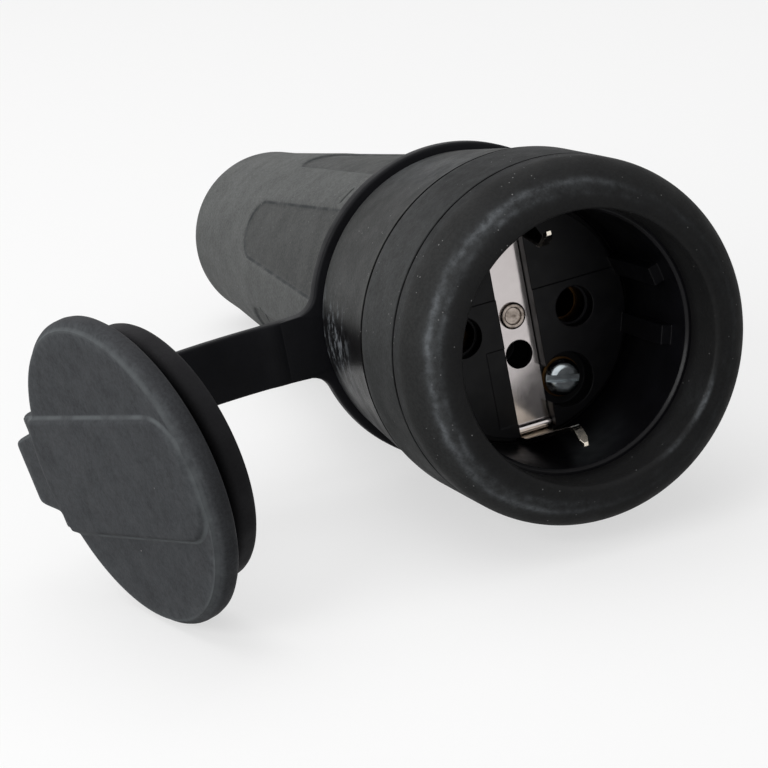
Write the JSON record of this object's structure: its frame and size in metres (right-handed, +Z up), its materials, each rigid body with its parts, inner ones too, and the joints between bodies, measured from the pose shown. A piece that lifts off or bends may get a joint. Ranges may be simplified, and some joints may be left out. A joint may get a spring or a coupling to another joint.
{
  "type": "inline socket connector",
  "caption": "Rubber inline mains socket with a round recess, side earth clips and a tapered grip, with a sealing cap on a strap that turns on its neck.",
  "frame": {"origin": "on the table, under the middle of the resting socket's bounding box", "axes": "+Z up, +Y from the mouth towards the cable end, +X to the right of a person who looks into the mouth; the cap lies on the -X side"},
  "size_m": [0.103, 0.1558, 0.057],
  "materials": {
    "housing_rubber": "matte, dusty, scuffed",
    "tether_rubber": "matte",
    "cap_rubber": "matte, fine grain",
    "insert_plastic": "satin moulding",
    "strip_nickel": "bright nickel",
    "spring_brass": "bright",
    "rivet_steel": "worn, with a punched centre",
    "contact_brass": "bright",
    "screw_zinc": "zinc plated",
    "terminal_brass": "machined",
    "clamp_plastic": "moulded",
    "seal_rubber": "matte"
  },
  "bodies": {
    "socket": {"rubber_housing": "housing_rubber", "socket_front": "insert_plastic", "socket_rear": "insert_plastic", "contact_left": "contact_brass", "contact_right": "contact_brass", "terminal_left": "terminal_brass", "terminal_right": "terminal_brass", "earth_terminal": "terminal_brass", "terminal_screws": "screw_zinc", "earth_strip": "strip_nickel", "earth_spring_top": "spring_brass", "earth_spring_bottom": "spring_brass", "strip_rivet": "rivet_steel", "insert_screw": "screw_zinc", "insert_washer": "contact_brass", "insert_nut": "terminal_brass", "clamp_base": "clamp_plastic", "clamp_saddle": "clamp_plastic", "clamp_screws": "screw_zinc", "cable_seal": "seal_rubber"},
    "tether": {"tether_ring": "tether_rubber"},
    "strap": {"cap_strap": "tether_rubber"},
    "cap": {"sealing_cap": "cap_rubber"}
  },
  "joints": [
    {"name": "tether_turn", "type": "hinge", "parent": "socket", "child": "tether", "pos_m": [0.02444, -0.01875, 0.02558], "axis": [0, 0.9939, -0.1102], "continuous": true},
    {"name": "strap_bend", "type": "hinge", "parent": "tether", "child": "strap", "pos_m": [-0.00705, -0.01904, 0.02299], "axis": [-0.0824, 0.1098, 0.9905], "range_deg": [-45, 40], "stiffness_Nm_per_rad": 0.02},
    {"name": "cap_turn", "type": "hinge", "parent": "strap", "child": "cap", "pos_m": [-0.04253, -0.05534, 0.02293], "axis": [-0.9514, -0.2616, -0.1626], "continuous": true}
  ]
}
